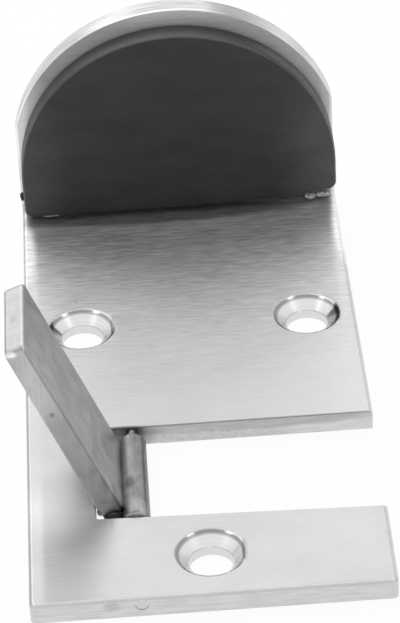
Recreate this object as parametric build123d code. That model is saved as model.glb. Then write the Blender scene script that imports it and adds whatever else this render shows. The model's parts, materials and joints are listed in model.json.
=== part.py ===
from build123d import *
import os
from math import cos, radians, sin, sqrt

# Floor door stop in millimetres. +X is to the right of somebody facing the rubber pad, +Y is the way
# the door travels towards the pad, and +Z is up. The origin is the middle of the base's underside.

# Flat bar that the bracket is bent from, with rolled upper edges; its right side runs in behind the slot
bar_width = 50.0
bar_thickness = 3.2
bracket_length = 97.0
bend_inner_radius = 1.0
corner_radius = 0.8
rolled_edge_radius = 0.6
right_side_inset = 0.6

# Upright with its arched top, which meets the straight sides at a slight corner
arch_radius = 25.5
arch_centre_height = 12.5

# Slot that the lever folds into: open at the right edge and narrower at its closed end
slot_left = -15.45
slot_back = -11.6
slot_front_at_left = -31.3
slot_front_at_right = -32.6
slot_corner_radius = 0.5
slot_edge_radius = 0.25

# Screw holes for 5 mm countersunk screws: 90 degree cones with a rounded rim and a rounded foot
screw_hole_radius = 3.1
countersink_radius = 4.85
countersink_rim_radius = 1.1
countersink_foot_radius = 0.4
back_hole_spacing = 33.8
back_hole_middle = 0.5
back_hole_y = 13.0
front_hole_y = -40.0

# Rubber pad and the glue that holds it to the upright
pad_thickness = 3.5
pad_arch_radius = 24.5
pad_arch_centre_height = 11.06
pad_floor_gap = 0.5
pad_corner_radius = 1.2
pad_edge_radius = 0.3
glue_thickness = 0.2
glue_inset = 1.5

# Hinge under the lever
hinge_x = -9.8
hinge_height = 2.0
pin_radius = 0.9
pin_press_clearance = 0.02
pin_running_clearance = 0.05
pin_back_seat = 8.0
pin_front_setback = 0.1
barrel_radius = 1.9
barrel_front = -31.25
barrel_back = -13.55
barrel_edge_radius = 0.5

# Lever blade: a little thinner and wider towards its tip, and leaning back over the slot's left wall
blade_lean = 21.25
blade_heel_thickness = 3.3
blade_tip_thickness = 2.95
blade_front = -29.4
blade_back = -14.15
blade_back_at_tip = -13.75
blade_reach = 33.0
blade_heel = 0.05
blade_wall_gap = 0.1
blade_tip_radius = 1.2
blade_heel_radius = 2.4
blade_edge_radius = 0.4

half_width = bar_width / 2
front_edge = -bracket_length / 2
back_face = bracket_length / 2
upright_face = back_face - bar_thickness
shoulder_height = arch_centre_height + sqrt(arch_radius**2 - half_width**2)
arch_top = arch_centre_height + arch_radius
countersink_depth = countersink_radius - screw_hole_radius
pad_back = upright_face - glue_thickness
pad_front = pad_back - pad_thickness
pad_bottom = bar_thickness + pad_floor_gap
tolerance = 0.01


def arched_outline(half, bottom, shoulder, top):
    """Face in the XZ plane: straight sides up to the shoulders, then an arc over the top."""
    with BuildSketch(Plane.XZ) as sketch:
        with BuildLine():
            Polyline((-half, shoulder), (-half, bottom), (half, bottom), (half, shoulder))
            ThreePointArc((half, shoulder), (0, top), (-half, shoulder))
        make_face()
    return sketch.sketch


def between(face, near, far):
    """The XZ face as a solid from y = near to y = far."""
    return Pos(0, far, 0) * extrude(face, far - near)


def is_rolled(edge):
    """Whether an edge runs round the base's upper face or up a side of the upright's front face."""
    middle = edge @ 0.5
    on_inside = middle.Z >= bar_thickness - tolerance and middle.Y <= upright_face + tolerance
    along_bend = edge.length > half_width and middle.Y > front_edge + tolerance and abs(middle.X) < 1
    return on_inside and not along_bend


def right_side_strip():
    """Plan of the thin strip that is missing along the bar's right side, behind the slot."""
    narrowed = half_width - right_side_inset
    with BuildSketch() as strip:
        with BuildLine():
            Polyline(
                (half_width, slot_back),
                (narrowed, upright_face),
                (narrowed, back_face),
                (half_width, back_face),
                close=True,
            )
        make_face()
    return strip.sketch


def bent_bar():
    """The flat bar with its square bend, still straight-topped and without openings."""
    with BuildPart() as bent:
        with BuildSketch(Plane.YZ):
            Rectangle(bracket_length, bar_thickness, align=(Align.CENTER, Align.MIN))
            with Locations((back_face, 0)):
                Rectangle(bar_thickness, arch_top, align=(Align.MAX, Align.MIN))
        extrude(amount=half_width, both=True)
        across = bent.edges().filter_by(Axis.X)
        fillet(across.sort_by_distance((0, upright_face, bar_thickness))[0], bend_inner_radius)
        across = bent.edges().filter_by(Axis.X)
        outer_corner = across.sort_by_distance((0, back_face, 0))[0]
        fillet(outer_corner, bend_inner_radius + bar_thickness)
        extrude(right_side_strip(), amount=arch_top, mode=Mode.SUBTRACT)
        fillet(bent.edges().filter_by(Axis.Z).group_by(Axis.Y)[0], corner_radius)
        fillet(bent.edges().filter_by(is_rolled), rolled_edge_radius)
    return bent.part


def lever_slot():
    """The plan of the slot, cut right through the bar and out past its right edge."""
    past_edge = half_width + slot_corner_radius
    with BuildPart() as slot:
        with BuildSketch():
            with BuildLine():
                Polyline(
                    (past_edge, slot_front_at_right),
                    (slot_left, slot_front_at_left),
                    (slot_left, slot_back),
                    (past_edge, slot_back),
                    close=True,
                )
            make_face()
        extrude(amount=bar_thickness)
        closed_end = slot.edges().filter_by(Axis.Z).group_by(Axis.X)[0]
        fillet(closed_end, slot_corner_radius)
    return slot.part


def is_slot_mouth(edge):
    """Whether an edge stands at the slot's open end; the slot's upper edge runs on from there."""
    middle = edge @ 0.5
    at_side = middle.X > half_width - rolled_edge_radius
    return at_side and any(abs(middle.Y - wall) < rolled_edge_radius for wall in (slot_back, slot_front_at_right))


def screw_hole():
    """One screw hole with its countersink, to be taken out of the bar."""
    with BuildPart() as hole:
        with BuildSketch(Plane.XZ):
            with BuildLine():
                Polyline(
                    (0, 0),
                    (screw_hole_radius, 0),
                    (screw_hole_radius, bar_thickness - countersink_depth),
                    (countersink_radius, bar_thickness),
                    (0, bar_thickness),
                    close=True,
                )
            make_face()
        revolve(axis=Axis.Z)
    return hole.part


def circles(solid, radius, height):
    """The solid's circular edges of one radius at one height."""
    level = solid.edges().filter_by(GeomType.CIRCLE).filter_by_position(Axis.Z, height, height)
    return level.filter_by(lambda edge: abs(edge.radius - radius) < tolerance)


def rod(radius, start, end):
    """A round rod along Y on the hinge's axis."""
    with BuildPart(Plane.XZ.offset(-end)) as bar:
        with Locations((hinge_x, hinge_height)):
            Cylinder(radius, end - start, align=(Align.CENTER, Align.CENTER, Align.MIN))
    return bar.part


def make_bracket():
    """Base and upright as one bent bar, with the slot, the screw holes and the pin's hole."""
    outline = arched_outline(half_width, 0, shoulder_height, arch_top)
    bracket = bent_bar() & between(outline, front_edge, back_face)
    bracket -= lever_slot()
    bracket = fillet(bracket.edges().filter_by(is_slot_mouth), slot_edge_radius)
    for side in (-1, 1):
        bracket -= Pos(back_hole_middle + side * back_hole_spacing / 2, back_hole_y, 0) * screw_hole()
    bracket -= Pos(0, front_hole_y, 0) * screw_hole()
    bracket = fillet(circles(bracket, countersink_radius, bar_thickness), countersink_rim_radius)
    cone_foot = bar_thickness - countersink_depth
    bracket = fillet(circles(bracket, screw_hole_radius, cone_foot), countersink_foot_radius)
    bracket -= rod(pin_radius + pin_press_clearance, front_edge, slot_back + pin_back_seat)
    return bracket


def make_pad():
    """Rubber pad, arched like the upright and a little lower, with softened corners and edges."""
    shoulder = pad_arch_centre_height
    top = pad_arch_centre_height + pad_arch_radius
    pad = between(arched_outline(pad_arch_radius, pad_bottom, shoulder, top), pad_front, pad_back)
    bottom_corners = pad.edges().filter_by(Axis.Y).group_by(Axis.Z)[0]
    pad = fillet(bottom_corners, pad_corner_radius)
    front = pad.faces().filter_by(Axis.Y).sort_by(Axis.Y)[0]
    return fillet(front.edges(), pad_edge_radius)


def make_glue():
    """Cured glue between the pad and the upright."""
    half = pad_arch_radius - glue_inset
    shoulder = pad_arch_centre_height
    outline = arched_outline(half, pad_bottom + glue_inset, shoulder, shoulder + half)
    return between(outline, pad_back, upright_face)


def make_pin():
    """Hinge pin, just inside the base's front edge and seated in the bar behind the slot."""
    return rod(pin_radius, front_edge + pin_front_setback, slot_back + pin_back_seat)


def blade_middle():
    """Distance of the blade's middle plane from the hinge's axis, so that it just clears the wall."""
    over = hinge_x - (slot_left + blade_wall_gap)
    up = bar_thickness - hinge_height
    return over * cos(radians(blade_lean)) - up * sin(radians(blade_lean)) - blade_heel_thickness / 2


def blade_outline():
    """The blade's broad side as it stands on the hinge's axis, with rounded corners."""
    with BuildSketch(Plane.YZ) as outline:
        with BuildLine():
            Polyline(
                (blade_front, blade_heel),
                (blade_back, blade_heel),
                (blade_back_at_tip, blade_reach),
                (blade_front, blade_reach),
                close=True,
            )
        make_face()
        fillet(outline.vertices().group_by(Axis.Y)[0], blade_heel_radius)
        fillet(outline.vertices().group_by(Axis.Y)[-1], blade_tip_radius)
    return outline.sketch


def make_blade():
    """Lever blade with rounded edges, drawn standing on the hinge's axis and then leaned over."""
    heel = blade_heel_thickness / 2
    tip = blade_tip_thickness / 2
    profile = [(-heel, blade_heel), (heel, blade_heel), (tip, blade_reach), (-tip, blade_reach)]
    with BuildSketch(Plane.XZ) as sketch:
        with BuildLine():
            Polyline(*[(across - blade_middle(), along) for across, along in profile], close=True)
        make_face()
    blade = between(sketch.sketch, blade_front, blade_back_at_tip)
    blade &= extrude(blade_outline(), blade_reach, both=True)
    for side in (0, -1):
        face = blade.faces().sort_by(SortBy.AREA)[-2:].sort_by(Axis.X)[side]
        blade = fillet(face.edges(), blade_edge_radius)
    return Pos(hinge_x, 0, hinge_height) * Rot(0, -blade_lean, 0) * blade


def make_barrel(blade):
    """Hinge barrel with the bore for the pin, flattened where the blade is welded on."""
    barrel = rod(barrel_radius, barrel_front, barrel_back)
    barrel = fillet(barrel.edges().filter_by(GeomType.CIRCLE), barrel_edge_radius)
    barrel -= rod(pin_radius + pin_running_clearance, barrel_front, barrel_back)
    return barrel - blade


lever_blade = make_blade()
pieces = {
    "base_bracket": make_bracket(),
    "rubber_pad": make_pad(),
    "pad_glue": make_glue(),
    "hinge_pin": make_pin(),
    "lever_blade": lever_blade,
    "hinge_barrel": make_barrel(lever_blade),
}

os.makedirs("parts", exist_ok=True)
for node, solid in pieces.items():
    export_step(solid, f"parts/{node}.step")
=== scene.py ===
"""Looks of a floor door stop: its finishes, its small formed pieces, the floor, the lamps and the camera."""

import json
import logging
import math
from collections.abc import Callable, Sequence
from dataclasses import dataclass
from enum import Enum

import bpy
from bpy.types import Material, Node, NodeSocket, Object
from mathutils import Matrix, Vector

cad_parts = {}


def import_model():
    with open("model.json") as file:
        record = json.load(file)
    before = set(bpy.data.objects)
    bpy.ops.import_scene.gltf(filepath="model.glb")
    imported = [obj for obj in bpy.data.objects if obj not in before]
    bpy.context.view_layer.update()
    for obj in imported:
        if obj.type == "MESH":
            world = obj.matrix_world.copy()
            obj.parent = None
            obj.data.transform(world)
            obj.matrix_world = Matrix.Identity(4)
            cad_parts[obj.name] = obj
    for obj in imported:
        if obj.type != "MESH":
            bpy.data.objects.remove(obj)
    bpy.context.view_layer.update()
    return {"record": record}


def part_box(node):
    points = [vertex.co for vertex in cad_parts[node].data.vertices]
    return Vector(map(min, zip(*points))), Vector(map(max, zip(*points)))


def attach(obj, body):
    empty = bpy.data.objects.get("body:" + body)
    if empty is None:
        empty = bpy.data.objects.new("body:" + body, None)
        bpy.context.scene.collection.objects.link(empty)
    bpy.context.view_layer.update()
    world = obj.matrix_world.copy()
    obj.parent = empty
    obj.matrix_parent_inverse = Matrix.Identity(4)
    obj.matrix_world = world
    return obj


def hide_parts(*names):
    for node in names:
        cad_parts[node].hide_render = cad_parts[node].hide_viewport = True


MM = 0.001

# Range that a noise seldom leaves, and a grain so long, in millimetres, that it is even along that axis
NOISE_RANGE = (0.3, 0.7)
EVEN = 1000.0

# How far a surface has turned where an edge's own grey begins, and where it is complete
EDGE_TURN = (0.1, 0.45)

# How squarely a surface faces a way where that side's own grey begins, and where it is complete
SQUARE_ON = (0.5, 0.9)

# Shapes of the solids that the finishes follow
BEND_OUTER_RADIUS = 4.2 * MM
BEND_TOP = 4.2 * MM
ARCH_RADIUS = 25.5 * MM
SLOT_BACK = -11.6 * MM
COUNTERSINK_RADIUS = 5.0 * MM
BLADE_LEAN = math.radians(21.25)

Value = float | NodeSocket
Triple = tuple[float, float, float]

log = logging.getLogger("door_stop")


class Body(Enum):
    """The two bodies that the lever's hinge joins."""

    BRACKET = "bracket"
    LEVER = "lever"


class Slot(Enum):
    """Material slots of the part's record that new pieces belong to."""

    TURNED = "turned_steel"
    RUBBER = "black_rubber"
    GLUE = "clear_glue"


class ShaderTree:
    """A new material whose nodes are added one call at a time."""

    def __init__(self, name: str) -> None:
        """Start an empty Principled material.

        Args:
            name: the material's name.
        """
        self.material: Material = bpy.data.materials.new(name)
        self.material.use_nodes = True
        self.tree = self.material.node_tree
        self.surface: Node = self.tree.nodes["Principled BSDF"]
        self.coordinates: Node = self.tree.nodes.new("ShaderNodeTexCoord")

    def node(self, kind: str, **settings: object) -> Node:
        """Add a node and set its properties.

        Args:
            kind: the node's type, without the ShaderNode in front.
            **settings: the properties to set on it.

        Returns:
            The new node.
        """
        made = self.tree.nodes.new(f"ShaderNode{kind}")
        for key, value in settings.items():
            setattr(made, key, value)
        return made

    def feed(self, target: NodeSocket, value: Value | Sequence[float]) -> None:
        """Link a socket into a target, or write a constant on it.

        Args:
            target: the input to feed.
            value: the socket or the constant.
        """
        if isinstance(value, NodeSocket):
            self.tree.links.new(value, target)
        else:
            target.default_value = value

    def set(self, name: str, value: Value | Sequence[float]) -> None:
        """Give the Principled shader's named input a socket or a constant."""
        self.feed(self.surface.inputs[name], value)

    def math(self, operation: str, first: Value, second: Value = 0.0) -> NodeSocket:
        """Add a Math node.

        Args:
            operation: the node's operation.
            first: its first value.
            second: its second value.

        Returns:
            The result's socket.
        """
        made = self.node("Math", operation=operation)
        self.feed(made.inputs[0], first)
        self.feed(made.inputs[1], second)
        return made.outputs[0]

    def vector(self, operation: str, first: Value | Sequence[float], second: Value | Sequence[float]) -> Node:
        """Add a Vector Math node on two vectors.

        Args:
            operation: the node's operation.
            first: its first vector.
            second: its second vector.

        Returns:
            The node.
        """
        made = self.node("VectorMath", operation=operation)
        self.feed(made.inputs[0], first)
        self.feed(made.inputs[1], second)
        return made

    def remap(
        self, value: Value, low: float, high: float, to_low: float = 0.0, to_high: float = 1.0
    ) -> NodeSocket:
        """Map a value from one range to another with a smooth step, clamped at both ends.

        Args:
            value: the value to map.
            low: where its range starts.
            high: where its range ends.
            to_low: the result at the start.
            to_high: the result at the end.

        Returns:
            The result's socket.
        """
        made = self.node("MapRange", interpolation_type="SMOOTHSTEP")
        for socket, given in zip(made.inputs, (value, low, high, to_low, to_high)):
            self.feed(socket, given)
        return made.outputs[0]

    def spread(self, noise: NodeSocket, low: float, high: float) -> NodeSocket:
        """Spread a noise over a range."""
        return self.remap(noise, *NOISE_RANGE, low, high)

    def blend(self, share: Value, low: Value, high: Value) -> NodeSocket:
        """Mix two values.

        Args:
            share: the share of the second, from 0 to 1.
            low: the first value.
            high: the second value.

        Returns:
            The mixed value.
        """
        made = self.node("Mix", data_type="FLOAT")
        for place, given in zip((0, 2, 3), (share, low, high)):
            self.feed(made.inputs[place], given)
        return made.outputs[0]

    def blend_vectors(self, share: Value, low: NodeSocket, high: NodeSocket) -> NodeSocket:
        """Mix two vectors.

        Args:
            share: the share of the second, from 0 to 1.
            low: the first vector.
            high: the second vector.

        Returns:
            The mixed vector.
        """
        made = self.node("Mix", data_type="VECTOR")
        for place, given in zip((0, 4, 5), (share, low, high)):
            self.feed(made.inputs[place], given)
        return made.outputs[1]

    def grey(self, value: Value) -> NodeSocket:
        """Turn a value into a grey colour.

        Args:
            value: the grey, from 0 to 1.

        Returns:
            The colour.
        """
        made = self.node("CombineColor")
        for socket in made.inputs:
            self.feed(socket, value)
        return made.outputs[0]

    def noise(self, cell: Sequence[float], detail: float = 2.0, at: NodeSocket | None = None) -> NodeSocket:
        """Add noise whose grains have a given size along each axis.

        Args:
            cell: the grain's size along X, Y and Z, in millimetres.
            detail: the noise's octaves.
            at: the coordinates to read, or the object's own.

        Returns:
            The noise's value.
        """
        place = self.node("Mapping")
        self.feed(place.inputs["Vector"], at or self.coordinates.outputs["Object"])
        place.inputs["Scale"].default_value = [1 / (size * MM) for size in cell]
        made = self.node("TexNoise")
        self.feed(made.inputs["Vector"], place.outputs[0])
        made.inputs["Scale"].default_value = 1.0
        made.inputs["Detail"].default_value = detail
        return made.outputs[0]

    def bump(self, height: NodeSocket, depth: float, strength: float) -> None:
        """Raise and lower the surface's shading by a height map.

        Args:
            height: the height map.
            depth: what a height of 1 stands for, in millimetres.
            strength: the share of it that is used.
        """
        made = self.node("Bump")
        made.inputs["Strength"].default_value = strength
        made.inputs["Distance"].default_value = depth * MM
        self.feed(made.inputs["Height"], height)
        self.feed(self.surface.inputs["Normal"], made.outputs[0])

    def axes(self, source: NodeSocket) -> list[NodeSocket]:
        """Split a vector into its three values.

        Args:
            source: the vector.

        Returns:
            Its values along X, Y and Z.
        """
        made = self.node("SeparateXYZ")
        self.feed(made.inputs[0], source)
        return list(made.outputs)

    def size(self, value: NodeSocket) -> NodeSocket:
        """The value without its sign."""
        return self.math("ABSOLUTE", value)

    def along_x(self, value: NodeSocket) -> NodeSocket:
        """Turn a value into a vector along X.

        Args:
            value: the vector's length.

        Returns:
            The vector.
        """
        made = self.node("CombineXYZ")
        self.feed(made.inputs[0], value)
        return made.outputs[0]

    def facing(self, direction: Triple) -> NodeSocket:
        """How squarely the surface faces a direction: 1 when it faces it, 0 from the side."""
        return self.vector("DOT_PRODUCT", self.coordinates.outputs["Normal"], direction).outputs["Value"]

    def tangent(self, direction: NodeSocket) -> None:
        """Set the direction in which highlights are drawn out.

        Args:
            direction: the direction, in the object's axes.
        """
        turned = self.node("VectorTransform", vector_type="VECTOR", convert_from="OBJECT", convert_to="WORLD")
        self.feed(turned.inputs[0], direction)
        self.feed(self.surface.inputs["Tangent"], turned.outputs[0])


@dataclass(frozen=True)
class ScrewHole:
    """Where a countersunk hole stands in the base."""

    x: float
    y: float


@dataclass(frozen=True)
class Mark:
    """A mark of use or making, or of painted light or shade, in millimetres.

    It takes a share of the colour away, or adds it where the share is negative. The core is the part of
    its half size over which it is at its full strength.
    """

    place: Triple
    half: Triple
    shade: float
    core: float = 0.3

    def share(self, tree: ShaderTree, place: NodeSocket) -> NodeSocket:
        """Find how strong the mark is at a place.

        Args:
            tree: the material.
            place: the object's coordinates.

        Returns:
            The share of the colour that the mark takes away.
        """
        away = tree.vector("SUBTRACT", place, [part * MM for part in self.place]).outputs[0]
        scaled = tree.vector("DIVIDE", away, [part * MM for part in self.half]).outputs[0]
        distance = tree.vector("LENGTH", scaled, (0.0, 0.0, 0.0)).outputs["Value"]
        return tree.remap(distance, 1.0, self.core, 0.0, self.shade)


def wear_and_painted_light(tree: ShaderTree, place: NodeSocket, grey: NodeSocket, marks: tuple[Mark, ...]) -> NodeSocket:
    """Darken or lighten a grey by some marks of wear and dirt, and by painted light and painted shade.

    Args:
        tree: the material.
        place: the object's coordinates.
        grey: the finish's own grey.
        marks: the marks on it.

    Returns:
        The grey with its marks.
    """
    for mark in marks:
        grey = tree.math("MULTIPLY", grey, tree.math("SUBTRACT", 1.0, mark.share(tree, place)))
    return grey


@dataclass(frozen=True)
class BarZones:
    """Where on the bar a point lies: its coordinates, and a mask or a measure for each zone."""

    tree: ShaderTree
    place: NodeSocket
    normal: NodeSocket
    holes: NodeSocket
    radius: NodeSocket
    outward: NodeSocket
    broad: NodeSocket
    upright: NodeSocket
    along_rim: NodeSocket
    torn: NodeSocket


@dataclass(frozen=True)
class BarGrain:
    """The noises that the bar's finishes are drawn with, and the zones that they are drawn in."""

    zones: BarZones
    streaks: NodeSocket
    clouds: NodeSocket
    smears: NodeSocket
    polish: NodeSocket
    tear: NodeSocket
    rings: NodeSocket


@dataclass(frozen=True)
class BrushedBar:
    """Stainless bar brushed across its width, with cut edges, a punched slot and turned countersinks.

    The fields before the marks say where the bar's shapes are, in metres. All other places and sizes are
    in millimetres. The greys are the finishes', before the marks; the side, left and front greys are painted
    highlights on the rolled edges, the rim's top grey is painted shade and its side grey painted light, and
    the lip grey is a painted dark reflection.
    """

    holes: tuple[ScrewHole, ...]
    countersink: float
    bend_start: float
    bend_top: float
    arch_centre: float
    slot_back: float
    marks: tuple[Mark, ...]
    grey: float = 0.415
    # Painted highlights on the rolled edges: lighter on the right and at the front than on the left
    side_grey: float = 0.72
    left_grey: float = 0.55
    front_grey: float = 0.62
    upright_grey: float = 0.5
    cut_grey: float = 0.72
    torn_darker: float = 0.08
    # Painted shade on the rim's top and painted light on its sides
    rim_top_grey: float = 0.33
    rim_side_grey: float = 0.72
    turned_grey: float = 0.74
    # Painted dark reflection on the countersinks' lips
    lip_grey: float = 0.3
    line: float = 0.02
    line_growth: tuple[float, float] = (1.6, 6.0)
    line_growth_y: tuple[float, float] = (-10.0, 38.0)
    upright_line_growth: float = 1.8
    cloud: float = 0.012
    smear: float = 0.05
    ring: float = 0.05
    polish: tuple[float, float] = (0.8, 1.25)
    line_size: Triple = (2.6, 0.2, 0.2)
    long_line_size: Triple = (7.0, 0.45, 0.45)
    long_line_share: float = 0.4
    cloud_size: Triple = (9.0, 7.0, 7.0)
    smear_size: Triple = (4.0, 4.0, 0.5)
    polish_size: Triple = (7.0, 0.3, EVEN)
    tear_size: Triple = (0.7, 0.7, 0.4)
    tear_range: tuple[float, float] = (0.35, 0.65)
    ring_size: Triple = (0.12, EVEN, EVEN)
    rim_turn: tuple[float, float] = (0.15, 0.75)
    roughness: float = 0.44
    line_roughness: tuple[float, float] = (-0.03, 0.04)
    cut_roughness: float = 0.4
    torn_rougher: float = 0.08
    turned_roughness: float = 0.22
    anisotropy: float = 0.94
    relief_depth: float = 0.02
    relief_strength: float = 0.3
    groove: float = 3.5
    tear_height: float = 0.5
    roll: float = 18.0
    roll_x: tuple[float, float] = (22.6, 25.0)
    lip_radius: tuple[float, float] = (4.2, 4.6)
    sides_x: float = 23.6
    front_y: float = -47.0
    torn_start_x: tuple[float, float] = (-6.2, -5.2)
    torn_end_x: tuple[float, float] = (16.0, 10.0)
    torn_top: tuple[float, float] = (1.0, 1.9)

    def turned(self, tree: ShaderTree, place: NodeSocket) -> tuple[NodeSocket, NodeSocket, NodeSocket]:
        """Find the countersinks.

        Args:
            tree: the material.
            place: the object's coordinates.

        Returns:
            The countersinks' mask, the distance from the nearest axis, and the way out from it.
        """
        mask: Value = 0.0
        radius: Value = 0.0
        outward: NodeSocket | Sequence[float] = (0.0, 0.0, 0.0)
        for hole in self.holes:
            flat = tree.vector("MULTIPLY", place, (1.0, 1.0, 0.0)).outputs[0]
            arm = tree.vector("SUBTRACT", flat, (hole.x, hole.y, 0.0)).outputs[0]
            away = tree.vector("LENGTH", arm, (0.0, 0.0, 0.0)).outputs["Value"]
            inside = tree.math("LESS_THAN", away, self.countersink)
            mask = tree.math("ADD", mask, inside)
            radius = tree.math("ADD", radius, tree.math("MULTIPLY", away, inside))
            scaled = tree.node("VectorMath", operation="SCALE")
            tree.feed(scaled.inputs[0], arm)
            tree.feed(scaled.inputs["Scale"], inside)
            outward = tree.vector("ADD", scaled.outputs[0], outward).outputs[0]
        return mask, radius, outward

    def broad(self, tree: ShaderTree, place: NodeSocket, normal: NodeSocket) -> NodeSocket:
        """Tell the bar's broad faces and their rolled edges from its cut edges.

        Args:
            tree: the material.
            place: the object's coordinates.
            normal: the object's normal.

        Returns:
            The mask of the broad faces.
        """
        _, y, z = tree.axes(place)
        _, across_y, across_z = (tree.size(part) for part in tree.axes(normal))
        upright = tree.math("GREATER_THAN", z, self.bend_top)
        bend = tree.math("GREATER_THAN", y, self.bend_start)
        round_bend = tree.math("MAXIMUM", across_y, across_z)
        low = tree.blend(bend, across_z, round_bend)
        return tree.remap(tree.blend(upright, low, across_y), 0.1, 0.4)

    def rim(self, tree: ShaderTree, place: NodeSocket) -> NodeSocket:
        """Lay coordinates along the arched rim.

        Args:
            tree: the material.
            place: the object's coordinates.

        Returns:
            Coordinates that run along the arch and across the rim.
        """
        x, y, z = tree.axes(place)
        angle = tree.math("ARCTAN2", x, tree.math("SUBTRACT", z, self.arch_centre))
        along = tree.node("CombineXYZ")
        tree.feed(along.inputs[0], tree.math("MULTIPLY", angle, ARCH_RADIUS))
        tree.feed(along.inputs[1], y)
        return along.outputs[0]

    def torn(self, tree: ShaderTree, place: NodeSocket) -> NodeSocket:
        """Find the torn lower band that the punch left on the slot's back wall.

        Args:
            tree: the material.
            place: the object's coordinates.

        Returns:
            The band's mask.
        """
        x, y, z = tree.axes(place)
        edge = tree.noise((1.1, EVEN, EVEN), 3.0)
        top = tree.spread(edge, *(height * MM for height in self.torn_top))
        low = tree.remap(tree.math("SUBTRACT", top, z), -0.1 * MM, 0.1 * MM)
        starts = tree.remap(x, *(along * MM for along in self.torn_start_x))
        ends = tree.remap(x, *(along * MM for along in self.torn_end_x))
        near = tree.math("LESS_THAN", tree.size(tree.math("SUBTRACT", y, self.slot_back)), 0.1 * MM)
        band = tree.math("MULTIPLY", tree.math("MULTIPLY", starts, ends), low)
        return tree.math("MULTIPLY", band, near)

    def zones(self, tree: ShaderTree) -> BarZones:
        """Find the bar's zones.

        Args:
            tree: the material.

        Returns:
            The zones' masks and measures.
        """
        place = tree.coordinates.outputs["Object"]
        normal = tree.coordinates.outputs["Normal"]
        holes, radius, outward = self.turned(tree, place)
        return BarZones(
            tree=tree,
            place=place,
            normal=normal,
            holes=holes,
            radius=radius,
            outward=outward,
            broad=self.broad(tree, place, normal),
            upright=tree.math("GREATER_THAN", tree.axes(place)[2], self.bend_top),
            along_rim=self.rim(tree, place),
            torn=self.torn(tree, place),
        )

    def grain(self, zones: BarZones) -> BarGrain:
        """Make the noises of the bar's finishes.

        Args:
            zones: the bar's zones.

        Returns:
            The noises.
        """
        tree = zones.tree
        lines, long_lines = tree.noise(self.line_size, 3.0), tree.noise(self.long_line_size, 3.0)
        return BarGrain(
            zones=zones,
            streaks=tree.blend(self.long_line_share, lines, long_lines),
            clouds=tree.noise(self.cloud_size),
            smears=tree.noise(self.smear_size),
            polish=tree.noise(self.polish_size, 3.0, zones.along_rim),
            tear=tree.noise(self.tear_size, 3.0),
            rings=tree.noise(self.ring_size, 2.0, tree.along_x(zones.radius)),
        )

    def brushed_colour(self, grain: BarGrain) -> NodeSocket:
        """Colour the broad faces and the rolled edges.

        Args:
            grain: the noises.

        Returns:
            Their grey, with painted highlights on the rolled edges. The lines grow stronger towards the
            upright.
        """
        tree, zones = grain.zones.tree, grain.zones
        x, y, _ = tree.axes(zones.place)
        turn_x, turn_y, _ = (tree.size(part) for part in tree.axes(zones.normal))
        near, far = (along * MM for along in self.line_growth_y)
        growth = tree.blend(
            zones.upright, tree.remap(y, near, far, *self.line_growth), self.upright_line_growth
        )
        scratches = tree.math("MULTIPLY", tree.spread(grain.streaks, -self.line, self.line), growth)
        shade = tree.math("ADD", scratches, tree.spread(grain.clouds, -self.cloud, self.cloud))
        at_side = tree.math("GREATER_THAN", tree.size(x), self.sides_x * MM)
        sideways = tree.math("MULTIPLY", tree.remap(turn_x, *EDGE_TURN), at_side)
        at_front = tree.math("LESS_THAN", y, self.front_y * MM)
        forward = tree.math("MULTIPLY", tree.remap(turn_y, *EDGE_TURN), at_front)
        face = tree.blend(zones.upright, self.grey, self.upright_grey)
        on_right = tree.math("MAXIMUM", tree.math("GREATER_THAN", x, 0.0), zones.upright)
        side = tree.blend(on_right, self.left_grey, self.side_grey)
        edged = tree.blend(forward, tree.blend(sideways, face, side), self.front_grey)
        return tree.math("ADD", shade, edged)

    def cut_colour(self, grain: BarGrain) -> NodeSocket:
        """Colour the cut edges, the torn band and the polished rim.

        Args:
            grain: the noises.

        Returns:
            Their grey, with painted shade on the rim's top and painted light on its sides.
        """
        tree, zones = grain.zones.tree, grain.zones
        plain = tree.math("ADD", tree.spread(grain.smears, -self.smear, self.smear), self.cut_grey)
        torn = tree.remap(grain.tear, *self.tear_range, self.cut_grey - self.torn_darker, self.cut_grey)
        turn = tree.remap(tree.size(tree.axes(zones.normal)[0]), *self.rim_turn)
        ground = tree.blend(turn, self.rim_top_grey, self.rim_side_grey)
        polished = tree.math("MULTIPLY", ground, tree.spread(grain.polish, *self.polish))
        return tree.blend(zones.upright, tree.blend(zones.torn, plain, torn), polished)

    def turned_colour(self, grain: BarGrain) -> NodeSocket:
        """Colour the countersinks.

        Args:
            grain: the noises.

        Returns:
            Their grey, with a painted dark reflection on the lips.
        """
        tree, zones = grain.zones.tree, grain.zones
        lip = tree.remap(zones.radius, *(radius * MM for radius in self.lip_radius))
        cone = tree.blend(lip, self.turned_grey, self.lip_grey)
        return tree.math("ADD", cone, tree.spread(grain.rings, -self.ring, self.ring))

    def colour(self, grain: BarGrain) -> None:
        """Set the bar's colour, with its marks.

        Args:
            grain: the noises.
        """
        tree, zones = grain.zones.tree, grain.zones
        flat = tree.blend(zones.broad, self.cut_colour(grain), self.brushed_colour(grain))
        grey = tree.blend(zones.holes, flat, self.turned_colour(grain))
        tree.set("Base Color", tree.grey(wear_and_painted_light(tree, zones.place, grey, self.marks)))
        tree.set("Metallic", 1.0)

    def sheen(self, grain: BarGrain) -> None:
        """Set how rough each finish is.

        Args:
            grain: the noises.
        """
        tree, zones = grain.zones.tree, grain.zones
        rough = tree.math("ADD", tree.spread(grain.streaks, *self.line_roughness), self.roughness)
        cut_rough = tree.math("ADD", tree.math("MULTIPLY", zones.torn, self.torn_rougher), self.cut_roughness)
        flat = tree.blend(zones.broad, cut_rough, rough)
        tree.set("Roughness", tree.blend(zones.holes, flat, self.turned_roughness))
        tree.set("Anisotropic", self.anisotropy)

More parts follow.
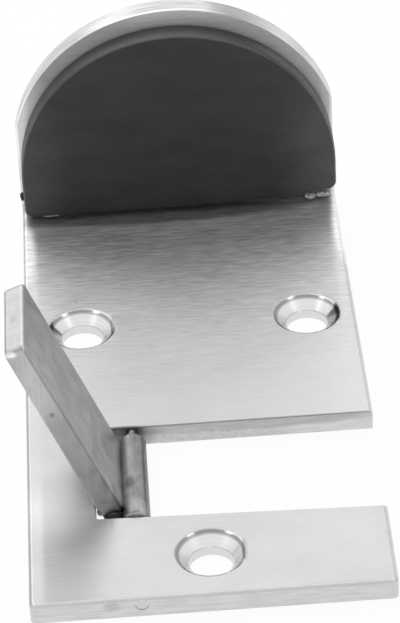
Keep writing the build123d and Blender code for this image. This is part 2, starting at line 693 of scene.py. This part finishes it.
    def highlights(self, zones: BarZones) -> None:
        """Draw highlights out over the brush lines, through the rim, and down the countersinks' cones.

        Args:
            zones: the bar's zones.
        """
        tree = zones.tree
        across = tree.vector("CROSS_PRODUCT", zones.normal, (1.0, 0.0, 0.0)).outputs[0]
        never_zero = tree.vector("ADD", across, (0.0, 0.01, 0.0)).outputs[0]
        through = tree.node("CombineXYZ")
        through.inputs[1].default_value = 1.0
        on_rim = tree.math("MULTIPLY", zones.upright, tree.math("SUBTRACT", 1.0, zones.broad))
        over = tree.blend_vectors(on_rim, never_zero, through.outputs[0])
        around = tree.vector("CROSS_PRODUCT", zones.outward, (0.0, 0.0, 1000.0)).outputs[0]
        down = tree.vector("CROSS_PRODUCT", zones.normal, around).outputs[0]
        tree.tangent(tree.blend_vectors(zones.holes, over, down))

    def relief(self, grain: BarGrain) -> None:
        """Give the surface its grooves, its tears and rings, and the broad face's rolled sides.

        Args:
            grain: the noises.
        """
        tree, zones = grain.zones.tree, grain.zones
        inner, outer = (along * MM for along in self.roll_x)
        rolled = tree.remap(tree.size(tree.axes(zones.place)[0]), inner, outer, 0.0, -self.roll)
        groove = tree.math("ADD", tree.math("MULTIPLY", grain.streaks, self.groove), rolled)
        tears = tree.blend(zones.torn, grain.smears, tree.math("MULTIPLY", grain.tear, self.tear_height))
        flat = tree.blend(zones.broad, tears, groove)
        tree.bump(tree.blend(zones.holes, flat, grain.rings), self.relief_depth, self.relief_strength)

    def build(self) -> Material:
        """Make the material.

        Returns:
            The bar's material.
        """
        tree = ShaderTree("brushed_bar")
        zones = self.zones(tree)
        grain = self.grain(zones)
        self.colour(grain)
        self.sheen(grain)
        self.highlights(zones)
        self.relief(grain)
        return tree.material


@dataclass(frozen=True)
class SatinBar:
    """Steel with a dull satin skin, smeared and pitted.

    It has other greys on its ends, a painted dark reflection on one rounded edge, painted light on its flanks
    and painted shade on its back. Its grain is the size of its brush marks along X, Y and Z in millimetres.
    Upward is the way that its ends face, shaded_edge the way that its painted dark edge faces, flank the way
    that its flanks face, and backward the way that its back faces.
    """

    name: str
    grey: float
    end_grey: float
    roughness: float
    grain: Triple
    upward: Triple
    smear: float = 0.05
    smear_size: Triple = (2.2, 2.2, 3.0)
    smear_roughness: tuple[float, float] = (-0.04, 0.06)
    brush: float = 0.02
    pit: float = 0.08
    pit_size: Triple = (0.7, 0.7, 0.7)
    pit_range: tuple[float, float] = (0.7, 0.8)
    relief_depth: float = 0.015
    relief_strength: float = 0.3
    # Painted dark reflection along one rounded edge
    shaded_edge: Triple = (0.0, 0.0, 0.0)
    edge_share: float = 0.38
    edge_facing: tuple[float, float] = (0.8, 0.93)
    # Painted light on the flanks and painted shade on the back
    flank_turn: tuple[float, float] = (0.12, 0.5)
    flank: Triple = (0.0, 0.0, 0.0)
    flank_grey: float = 0.25
    backward: Triple = (0.0, 0.0, 0.0)
    back_grey: float = 0.34
    marks: tuple[Mark, ...] = ()

    def base(self, tree: ShaderTree) -> NodeSocket:
        """Find the grey of the side that a point lies on.

        Args:
            tree: the material.

        Returns:
            The side's own grey.
        """
        flank = tree.remap(tree.size(tree.facing(self.flank)), *self.flank_turn)
        back = tree.remap(tree.facing(self.backward), *SQUARE_ON)
        end = tree.remap(tree.facing(self.upward), *SQUARE_ON)
        sides = tree.blend(back, tree.blend(flank, self.grey, self.flank_grey), self.back_grey)
        return tree.blend(end, sides, self.end_grey)

    def build(self) -> Material:
        """Make the material.

        Returns:
            The steel's material.
        """
        tree = ShaderTree(self.name)
        grain = tree.noise(self.grain, 3.0)
        smears = tree.noise(self.smear_size, 3.0)
        pits = tree.remap(tree.noise(self.pit_size, 1.0), *self.pit_range)
        brushed = tree.spread(grain, -self.brush, self.brush)
        uneven = tree.math("ADD", brushed, tree.spread(smears, -self.smear, self.smear))
        skin = tree.math("ADD", uneven, self.base(tree))
        whole = tree.math("SUBTRACT", skin, tree.math("MULTIPLY", pits, self.pit))
        # Painted dark reflection along the rounded edge
        on_edge = tree.remap(tree.facing(self.shaded_edge), *self.edge_facing)
        edge_shading = tree.math("MULTIPLY", on_edge, self.edge_share)
        clean = tree.math("MULTIPLY", whole, tree.math("SUBTRACT", 1.0, edge_shading))
        tree.set("Base Color", tree.grey(wear_and_painted_light(tree, tree.coordinates.outputs["Object"], clean, self.marks)))
        tree.set("Metallic", 1.0)
        tree.set("Roughness", tree.math("ADD", tree.spread(smears, *self.smear_roughness), self.roughness))
        tree.bump(grain, self.relief_depth, self.relief_strength)
        return tree.material


@dataclass(frozen=True)
class MouldedRubber:
    """Black rubber with a fine matt skin and faint moulding marks. Its edges carry a painted highlight."""

    marks: tuple[Mark, ...]
    grey: float = 0.034
    rim_highlight: float = 1.6
    rim_highlight_from: tuple[float, float] = (0.35, 0.6)
    rim_highlight_to: tuple[float, float] = (0.97, 0.85)
    skin_size: Triple = (0.25, 0.25, 0.25)
    bloom_size: Triple = (7.0, 5.0, 3.0)
    bloom: float = 0.15
    speckle: float = 0.2
    roughness: float = 0.52
    skin_roughness: tuple[float, float] = (-0.05, 0.08)
    relief_depth: float = 0.02
    relief_strength: float = 0.4

    def build(self) -> Material:
        """Make the material.

        Returns:
            The rubber's material.
        """
        tree = ShaderTree("moulded_rubber")
        skin = tree.noise(self.skin_size, 3.0)
        bloom = tree.noise(self.bloom_size, 3.0)
        clouded = tree.spread(bloom, self.grey * (1 - self.bloom), self.grey * (1 + self.bloom))
        # Painted highlight on the bevelled rims
        facing = tree.size(tree.axes(tree.coordinates.outputs["Normal"])[1])
        edge = tree.math(
            "MULTIPLY", tree.remap(facing, *self.rim_highlight_from), tree.remap(facing, *self.rim_highlight_to)
        )
        lighter = tree.math("ADD", tree.math("MULTIPLY", edge, self.rim_highlight), 1.0)
        plain = tree.math("MULTIPLY", clouded, tree.spread(skin, 1 - self.speckle, 1 + self.speckle))
        clean = tree.math("MULTIPLY", plain, lighter)
        tree.set("Base Color", tree.grey(wear_and_painted_light(tree, tree.coordinates.outputs["Object"], clean, self.marks)))
        tree.set("Roughness", tree.math("ADD", tree.spread(skin, *self.skin_roughness), self.roughness))
        tree.bump(skin, self.relief_depth, self.relief_strength)
        return tree.material


@dataclass(frozen=True)
class CuredGlue:
    """Clear glue that has clouded slightly and keeps a wet shine."""

    greys: tuple[float, float] = (0.35, 0.8)
    lump_size: Triple = (0.5, 0.5, 0.5)
    lump_range: tuple[float, float] = (0.35, 0.65)
    roughness: float = 0.12
    shine: float = 0.5
    relief_depth: float = 0.05
    relief_strength: float = 0.6

    def build(self) -> Material:
        """Make the material.

        Returns:
            The glue's material.
        """
        tree = ShaderTree("cured_glue")
        lumps = tree.noise(self.lump_size, 3.0)
        tree.set("Base Color", tree.grey(tree.remap(lumps, *self.lump_range, *self.greys)))
        tree.set("Roughness", self.roughness)
        tree.set("Coat Weight", self.shine)
        tree.bump(lumps, self.relief_depth, self.relief_strength)
        return tree.material


# The dirt, the scratches, painted light and painted shade on the bracket
BAR_MARKS = (
    # Painted shade under the pad's foot, and a softer painted shade in front of it
    Mark((-4.0, 41.7, 3.2), (26.5, 3.0, 1.0), 0.58, 0.6),
    Mark((0.0, 36.0, 3.2), (36.0, 22.0, 2.0), 0.14, 0.3),
    # Painted shade on the slot's back wall behind the barrel, and the darker top of the slot's back wall
    Mark((-11.0, -11.6, 1.8), (6.5, 0.7, 3.5), 0.55, 0.35),
    Mark((-11.4, -11.6, 2.2), (3.8, 0.6, 3.0), 0.4, 0.6),
    Mark((5.0, -11.6, 2.7), (26.0, 0.25, 1.6), 0.28, 0.6),
    # Painted light beside the slot, where the lever shades the bar, and painted reflections along both sides
    # in front of the pad
    Mark((-19.5, -29.5, 3.2), (9.0, 8.0, 1.0), -0.28, 0.2),
    Mark((24.7, 35.0, 3.2), (2.0, 13.0, 1.4), -0.42, 0.4),
    Mark((-25.0, 35.0, 3.2), (2.6, 12.0, 1.4), -0.25, 0.5),
    # Painted dark reflections on the right of the countersinks' lips
    Mark((4.66, -39.9, 3.0), (0.55, 3.0, 1.0), 0.36, 0.5),
    Mark((-11.74, 13.1, 3.0), (0.55, 3.0, 1.0), 0.36, 0.5),
    Mark((22.06, 13.1, 3.0), (0.55, 3.0, 1.0), 0.36, 0.5),
    # Painted light on the left side and top of the upright's front face
    Mark((-23.5, 45.3, 19.0), (9.0, 1.0, 10.0), -0.5, 0.3),
    Mark((0.0, 45.3, 38.5), (20.0, 1.0, 4.0), -0.35, 0.2),
    # Thin dark line in front of the slot, smudge on the front edge, and painted light on the arc under the
    # pin's end
    Mark((-13.3, -32.3, 3.2), (0.1, 1.15, 0.5), 0.35),
    Mark((-13.9, -48.5, 2.0), (1.7, 0.6, 1.1), 0.2),
    Mark((-9.8, -48.4, 1.1), (1.2, 0.095, 0.4), -0.35, 0.9),
    # Scratches behind the left screw hole
    Mark((-17.1, 19.9, 3.2), (0.1, 0.9, 0.5), 0.4),
    Mark((-9.5, 21.0, 3.2), (1.2, 0.12, 0.5), 0.3),
)

# Lever blade, darker towards its foot, with painted highlights and painted shade
BLADE = SatinBar(
    name="satin_blade",
    grey=0.47,
    end_grey=0.3,
    roughness=0.42,
    grain=(0.3, 0.3, 5.0),
    upward=(-math.sin(BLADE_LEAN), 0.0, math.cos(BLADE_LEAN)),
    smear=0.035,
    # Painted dark reflection on the edge between the front and the right face, and painted shade on the back
    # face
    shaded_edge=(0.66, -0.707, 0.256),
    backward=(-math.cos(BLADE_LEAN), 0.0, -math.sin(BLADE_LEAN)),
    marks=(
        # Dark spot on the front edge, smudge near the tip, a painted highlight on the tip's corner and
        # painted light on the upper half
        Mark((-20.3, -29.4, 20.5), (0.6, 0.5, 0.6), 0.4),
        Mark((-24.6, -22.0, 31.6), (0.9, 1.2, 1.0), 0.15),
        Mark((-25.2, -29.1, 31.0), (1.4, 0.6, 0.6), -1.0),
        Mark((-21.5, -29.4, 26.0), (5.0, 1.0, 9.0), -0.22),
        # Darker foot, with painted shade on the heel and along the blade's lower edge in the slot
        Mark((-12.4, -29.2, 4.4), (1.2, 0.9, 3.2), 0.35),
        Mark((-13.8, -29.2, 8.2), (0.9, 0.7, 3.8), 0.25),
        Mark((-12.7, -29.1, 1.6), (2.7, 1.8, 2.4), 0.85, 0.5),
        Mark((-12.2, -22.0, 1.6), (1.6, 9.0, 1.6), 0.5),
    ),
)

# Hinge barrel, with a burnt patch, painted light on its flanks and front end, and a painted dark reflection
# along its right side
BARREL = SatinBar(
    name="turned_barrel",
    grey=0.13,
    # Painted light on the front end
    end_grey=0.3,
    roughness=0.46,
    grain=(0.3, 2.0, 0.3),
    upward=(0.0, -1.0, 0.0),
    smear=0.035,
    # Painted light on the flanks
    flank=(1.0, 0.0, 0.0),
    marks=(
        # Painted dark reflection along the right side, and painted shade on the back end
        Mark((-8.4, -22.4, 3.4), (0.3, 14.0, 0.7), 0.45),
        Mark((-11.0, -16.0, 3.2), (1.3, 3.5, 1.6), 0.3),
        # Burnt patch with a bright rim, and painted light on the front end
        Mark((-10.5, -24.5, 3.8), (1.5, 2.5, 1.6), -0.35),
        Mark((-10.5, -24.5, 3.8), (1.2, 2.1, 1.2), 0.6),
        Mark((-9.4, -30.5, 3.6), (2.2, 3.5, 1.6), -0.4),
    ),
)

# Near-black steel for a lump that stands in for the shade under the blade's heel
HEEL_SHADE = SatinBar(
    name="burnt_weld",
    grey=0.06,
    end_grey=0.06,
    roughness=0.5,
    grain=(0.4, 0.4, 0.4),
    upward=(0.0, 0.0, 1.0),
    smear=0.02,
)

# Hinge pin: bright at its end in the front edge, with painted shade where it shows behind the barrel
PIN = SatinBar(
    name="drilled_pin",
    grey=0.7,
    end_grey=0.7,
    roughness=0.4,
    grain=(0.4, 0.4, 0.4),
    upward=(0.0, -1.0, 0.0),
    marks=(Mark((-9.8, -12.5, 2.0), (5.0, 12.0, 5.0), 0.85, 0.5),),
)

# The pad's rubber, with painted light at its sides
RUBBER = MouldedRubber(
    marks=(
        Mark((19.0, 43.6, 26.0), (10.0, 1.8, 14.0), -1.9, 0.5),
        Mark((24.0, 41.6, 12.0), (11.0, 1.5, 22.0), -1.6, 0.1),
        Mark((-24.0, 41.6, 14.0), (9.0, 1.5, 20.0), -0.8, 0.1),
    )
)

# Glue pressed out under the pad
GLUE = CuredGlue()


def deselect() -> None:
    """Leave nothing selected, in object mode."""
    if bpy.context.object and bpy.context.object.mode != "OBJECT":
        bpy.ops.object.mode_set(mode="OBJECT")
    bpy.ops.object.select_all(action="DESELECT")


def select_faces(piece: Object, wanted: Callable[[Vector, Vector], bool]) -> None:
    """Select the faces whose centre and normal pass a test, and go to edit mode.

    Args:
        piece: the object being shaped.
        wanted: a test of a face's centre and normal.
    """
    bpy.ops.object.mode_set(mode="OBJECT")
    for vertex in piece.data.vertices:
        vertex.select = False
    for edge in piece.data.edges:
        edge.select = False
    for face in piece.data.polygons:
        face.select = wanted(face.center, face.normal)
    bpy.ops.object.mode_set(mode="EDIT")
    bpy.ops.mesh.select_mode(type="FACE")


def finish_piece(piece: Object, body: Body, material: Material) -> None:
    """Put a piece's place into its mesh, dress it and let it ride on its body.

    Args:
        piece: the finished mesh object.
        body: the body that it moves with.
        material: its finish.
    """
    deselect()
    piece.select_set(True)
    bpy.context.view_layer.objects.active = piece
    bpy.ops.object.transform_apply(location=True, rotation=True, scale=True)
    piece.data.materials.clear()
    piece.data.materials.append(material)
    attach(piece, body.value)
    log.info("%s: %d faces, rides on %s", piece.name, len(piece.data.polygons), body.value)


def apply_modifiers(piece: Object) -> None:
    """Apply a piece's modifiers in order.

    Args:
        piece: the object with the modifiers.
    """
    deselect()
    piece.select_set(True)
    bpy.context.view_layer.objects.active = piece
    for modifier in list(piece.modifiers):
        bpy.ops.object.modifier_apply(modifier=modifier.name)


@dataclass
class RubberPad:
    """The rubber pad: half a disc over a straight-sided foot, with softened edges.

    Low and high are the corners of its box. Each trim of its foot is where it starts along X, its height
    there over the box's floor, both in millimetres, and its slope.
    """

    low: Vector
    high: Vector
    corner: float = 1.2 * MM
    corner_segments: int = 8
    edge: float = 0.35 * MM
    edge_segments: int = 4
    sharp_angle: float = 50.0
    smooth_angle: float = 35.0
    foot: float = 3 * MM
    segments: int = 192
    trims: tuple[Triple, ...] = ((0.0, 0.55, 0.0), (2.0, 0.55, 0.03), (16.5, 0.98, 0.15))
    trim_tolerance: float = 0.01 * MM

    def build(self, material: Material) -> None:
        """Model the pad on the CAD pad's box, dress it and put it in the CAD pad's place.

        Args:
            material: its finish.
        """
        radius = (self.high.x - self.low.x) / 2
        middle = (self.low + self.high) / 2
        middle.z = self.high.z - radius
        deselect()
        bpy.ops.mesh.primitive_cylinder_add(
            vertices=self.segments,
            radius=radius,
            depth=self.high.y - self.low.y,
            location=middle,
            rotation=(math.pi / 2, 0, 0),
        )
        pad = bpy.context.object
        pad.name = "moulded_pad"
        bpy.ops.object.transform_apply(location=True, rotation=True, scale=True)
        bpy.ops.object.mode_set(mode="EDIT")
        bpy.ops.mesh.select_all(action="SELECT")
        bpy.ops.mesh.bisect(plane_co=middle, plane_no=(0, 0, 1), use_fill=True, clear_inner=True)
        select_faces(pad, lambda centre, normal: normal.z < -0.9)
        bpy.ops.mesh.extrude_region_move(TRANSFORM_OT_translate={"value": (0, 0, self.low.z - middle.z)})
        self.trim_foot()
        bpy.ops.object.mode_set(mode="OBJECT")
        self.round_corners(pad)
        self.soften(pad)
        finish_piece(pad, Body.BRACKET, material)
        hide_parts("rubber_pad")

    def trim_foot(self) -> None:
        """Cut the foot off unevenly, and more and more on a slant towards the right, as a knife left it."""
        for start, height, slope in self.trims:
            bpy.ops.mesh.select_all(action="SELECT")
            bpy.ops.mesh.bisect(
                plane_co=(start * MM, 0, self.low.z + height * MM),
                plane_no=Vector((-slope, 0, 1)).normalized(),
                use_fill=True,
                clear_inner=True,
                threshold=self.trim_tolerance,
            )

    def round_corners(self, pad: Object) -> None:
        """Round the two bottom corners, whose edges run through the pad's thickness.

        Args:
            pad: the pad's object.
        """
        for edge in pad.data.edges:
            ends = [pad.data.vertices[i].co for i in edge.vertices]
            low = all(end.z < self.low.z + self.foot for end in ends)
            at_side = all(abs(end.x) > self.high.x - self.edge for end in ends)
            edge.select = low and at_side and abs(ends[0].y - ends[1].y) > self.edge
        for face in pad.data.polygons:
            face.select = False
        bpy.ops.object.mode_set(mode="EDIT")
        bpy.ops.mesh.select_mode(type="EDGE")
        bpy.ops.mesh.bevel(offset=self.corner, segments=self.corner_segments, affect="EDGES")
        bpy.ops.object.mode_set(mode="OBJECT")

    def soften(self, pad: Object) -> None:
        """Bevel the rims and shade smooth.

        Args:
            pad: the pad's object.
        """
        rims = pad.modifiers.new("rims", "BEVEL")
        rims.width = self.edge
        rims.segments = self.edge_segments
        rims.limit_method = "ANGLE"
        rims.angle_limit = math.radians(self.sharp_angle)
        apply_modifiers(pad)
        bpy.ops.object.shade_smooth_by_angle(angle=math.radians(self.smooth_angle))


@dataclass
class Lump:
    """A small uneven lump, such as pressed-out glue or a weld. Its place and size are in millimetres."""

    name: str
    body: Body
    slot: Slot
    place: Triple
    size: Triple
    seed: int
    unevenness: float = 0.22
    scatter: float = 0.6
    swell: float = 0.3
    smoothing: float = 0.5
    smoothing_passes: int = 2

    def build(self, material: Material) -> None:
        """Model the lump from a stretched ball with an uneven skin, and dress it.

        Args:
            material: its finish.
        """
        deselect()
        bpy.ops.mesh.primitive_ico_sphere_add(subdivisions=3, radius=1.0, location=Vector(self.place) * MM)
        lump = bpy.context.object
        lump.name = self.name
        lump.scale = Vector(self.size) * MM / 2
        bpy.ops.object.transform_apply(location=True, rotation=True, scale=True)
        bpy.ops.object.mode_set(mode="EDIT")
        bpy.ops.mesh.select_all(action="SELECT")
        offset = min(self.size) * MM * self.unevenness
        bpy.ops.transform.vertex_random(
            offset=offset, uniform=self.scatter, normal=self.swell, seed=self.seed
        )
        bpy.ops.mesh.vertices_smooth(factor=self.smoothing, repeat=self.smoothing_passes)
        bpy.ops.object.mode_set(mode="OBJECT")
        skin = lump.modifiers.new("skin", "SUBSURF")
        skin.levels = skin.render_levels = 1
        apply_modifiers(lump)
        bpy.ops.object.shade_smooth()
        finish_piece(lump, self.body, material)


@dataclass(frozen=True)
class SoftLamp:
    """A square soft lamp that faces the object: its place and side in metres, and its power in watts."""

    name: str
    place: Triple
    side: float
    power: float

    def build(self) -> None:
        """Hang the lamp."""
        data = bpy.data.lights.new(self.name, "AREA")
        data.size = self.side
        data.energy = self.power
        lamp = bpy.data.objects.new(self.name, data)
        lamp.location = self.place
        lamp.rotation_euler = (-Vector(self.place)).to_track_quat("-Z", "Y").to_euler()
        bpy.context.scene.collection.objects.link(lamp)


@dataclass
class Studio:
    """White floor, soft lamps and a white surround."""

    floor_side: float = 6.0
    floor_level: float = -0.02 * MM
    floor_grey: float = 0.95
    floor_roughness: float = 0.9
    shadow_share: float = 0.06
    surround: float = 1.0
    surround_light: float = 0.36
    lamps: tuple[SoftLamp, ...] = (
        SoftLamp("softbox", (-0.1, 0.48, 0.52), 0.7, 3.9),
        SoftLamp("left_lamp", (-0.34, 0.05, 0.72), 0.16, 0.6),
        SoftLamp("right_lamp", (0.34, 0.05, 0.72), 0.16, 0.6),
    )

    def floor(self) -> None:
        """Lay the floor: white to the camera and in reflections, with a faint shadow."""
        deselect()
        bpy.ops.mesh.primitive_plane_add(size=self.floor_side, location=(0, 0, self.floor_level))
        floor = bpy.context.object
        floor.name = "floor"
        tree = ShaderTree("white_floor")
        tree.set("Base Color", (self.floor_grey, self.floor_grey, self.floor_grey, 1.0))
        tree.set("Roughness", self.floor_roughness)
        tree.set("Specular IOR Level", 0.0)
        glow = tree.node("Emission")
        glow.inputs["Strength"].default_value = self.surround
        path = tree.node("LightPath")
        seen = tree.math("MAXIMUM", path.outputs["Is Camera Ray"], path.outputs["Is Glossy Ray"])
        mix = tree.node("MixShader")
        tree.feed(mix.inputs[0], tree.math("MULTIPLY", seen, 1.0 - self.shadow_share))
        tree.feed(mix.inputs[1], tree.surface.outputs[0])
        tree.feed(mix.inputs[2], glow.outputs[0])
        tree.feed(tree.tree.nodes["Material Output"].inputs[0], mix.outputs[0])
        floor.data.materials.append(tree.material)

    def world(self) -> None:
        """Set the surround: white to the camera and in reflections, softer as a light."""
        world = bpy.data.worlds.new("surround")
        bpy.context.scene.world = world
        world.use_nodes = True
        nodes, links = world.node_tree.nodes, world.node_tree.links
        back = nodes["Background"]
        back.inputs["Color"].default_value = (1, 1, 1, 1)
        path = nodes.new("ShaderNodeLightPath")
        seen = nodes.new("ShaderNodeMath")
        seen.operation = "MAXIMUM"
        links.new(path.outputs["Is Camera Ray"], seen.inputs[0])
        links.new(path.outputs["Is Glossy Ray"], seen.inputs[1])
        strength = nodes.new("ShaderNodeMapRange")
        strength.inputs["To Min"].default_value = self.surround_light
        strength.inputs["To Max"].default_value = self.surround
        links.new(seen.outputs[0], strength.inputs["Value"])
        links.new(strength.outputs[0], back.inputs["Strength"])

    def build(self) -> None:
        """Set up floor, surround and lamps."""
        self.floor()
        self.world()
        for lamp in self.lamps:
            lamp.build()


@dataclass(frozen=True)
class PhotoCamera:
    """The photograph's viewpoint, in the part's frame: lengths in metres, angles in degrees."""

    target: Triple = (1.76 * MM, 19.67 * MM, 0.0)
    distance: float = 487.6 * MM
    elevation: float = 36.543
    heading: float = 1.129
    roll: float = 3.287
    lens: float = 184.92
    sensor: float = 36.0
    near: float = 0.01
    shift: tuple[float, float] = (-0.0019, -0.0008)

    def build(self) -> None:
        """Add the camera and make it the scene's."""
        heading, elevation, roll = (math.radians(a) for a in (self.heading, self.elevation, self.roll))
        level = Vector((math.sin(heading), math.cos(heading), 0))
        forward = level * math.cos(elevation) - Vector((0, 0, math.sin(elevation)))
        right = Vector((math.cos(heading), -math.sin(heading), 0))
        up = right.cross(forward)
        turned_right = right * math.cos(roll) - up * math.sin(roll)
        turned_up = right * math.sin(roll) + up * math.cos(roll)
        data = bpy.data.cameras.new("photo_camera")
        data.lens = self.lens
        data.sensor_width = self.sensor
        data.shift_x, data.shift_y = self.shift
        data.clip_start = self.near
        camera = bpy.data.objects.new("photo_camera", data)
        turn = Matrix((turned_right, turned_up, -forward)).transposed().to_4x4()
        camera.matrix_world = Matrix.Translation(Vector(self.target) - forward * self.distance) @ turn
        bpy.context.scene.collection.objects.link(camera)
        bpy.context.scene.camera = camera


def dress_nodes(finishes: dict[str, Material]) -> None:
    """Give the CAD nodes their finishes.

    Args:
        finishes: material by node name.
    """
    for node, material in finishes.items():
        piece = bpy.data.objects[node]
        piece.data.materials[0] = material
        log.info("%s: dressed in %s", node, material.name)


def screw_holes(record: dict) -> tuple[ScrewHole, ...]:
    """Read the screw holes from the part's mounts.

    Args:
        record: the part's record.

    Returns:
        The two back holes and the front one.
    """
    mounts = {mount["name"]: mount for mount in record["mounts"]}
    pair, front = mounts["back_screw_holes"], mounts["front_screw_hole"]
    half = pair["dims"]["spacing_x_mm"] * MM / 2
    return (
        ScrewHole(pair["pos_m"][0] - half, pair["pos_m"][1]),
        ScrewHole(pair["pos_m"][0] + half, pair["pos_m"][1]),
        ScrewHole(front["pos_m"][0], front["pos_m"][1]),
    )


def main() -> None:
    """Dress the part, add its small pieces and set the scene around it."""
    logging.basicConfig(level=logging.INFO, format="%(name)s %(message)s")
    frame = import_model()
    bpy.context.scene.view_settings.view_transform = "Standard"
    _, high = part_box("base_bracket")
    bar = BrushedBar(
        holes=screw_holes(frame["record"]),
        countersink=COUNTERSINK_RADIUS,
        bend_start=high.y - BEND_OUTER_RADIUS,
        bend_top=BEND_TOP,
        arch_centre=high.z - ARCH_RADIUS,
        slot_back=SLOT_BACK,
        marks=BAR_MARKS,
    ).build()
    barrel, heel_shade, rubber, glue = BARREL.build(), HEEL_SHADE.build(), RUBBER.build(), GLUE.build()
    dress_nodes(
        {
            "base_bracket": bar,
            "rubber_pad": rubber,
            "pad_glue": glue,
            "hinge_pin": PIN.build(),
            "lever_blade": BLADE.build(),
            "hinge_barrel": barrel,
        }
    )
    RubberPad(*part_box("rubber_pad")).build(rubber)
    bracket, lever = Body.BRACKET, Body.LEVER
    lumps = (
        (Lump("glue_bead_right", bracket, Slot.GLUE, (22.4, 42.1, 4.65), (2.2, 0.9, 1.1), 3, 0.45), glue),
        (Lump("glue_bead_middle", bracket, Slot.GLUE, (20.4, 42.1, 4.5), (1.9, 0.8, 0.9), 5, 0.45), glue),
        (Lump("glue_bead_left", bracket, Slot.GLUE, (-20.4, 41.9, 4.15), (2.6, 0.6, 0.4), 7, 0.3), glue),
        (Lump("rubber_flash", bracket, Slot.RUBBER, (-24.8, 44.9, 6.1), (0.8, 0.7, 1.7), 11, 0.3), rubber),
        # A near-black lump that stands in for the shade under the blade's heel: painted shade
        (Lump("weld_bead", lever, Slot.TURNED, (-13.0, -28.7, 1.5), (3.4, 1.9, 2.2), 2), heel_shade),
        (Lump("weld_toe", lever, Slot.TURNED, (-14.9, -29.0, 2.5), (0.95, 0.9, 1.6), 13, 0.1), barrel),
    )
    for lump, material in lumps:
        lump.build(material)
    Studio().build()
    PhotoCamera().build()


if __name__ == "__main__":
    main()
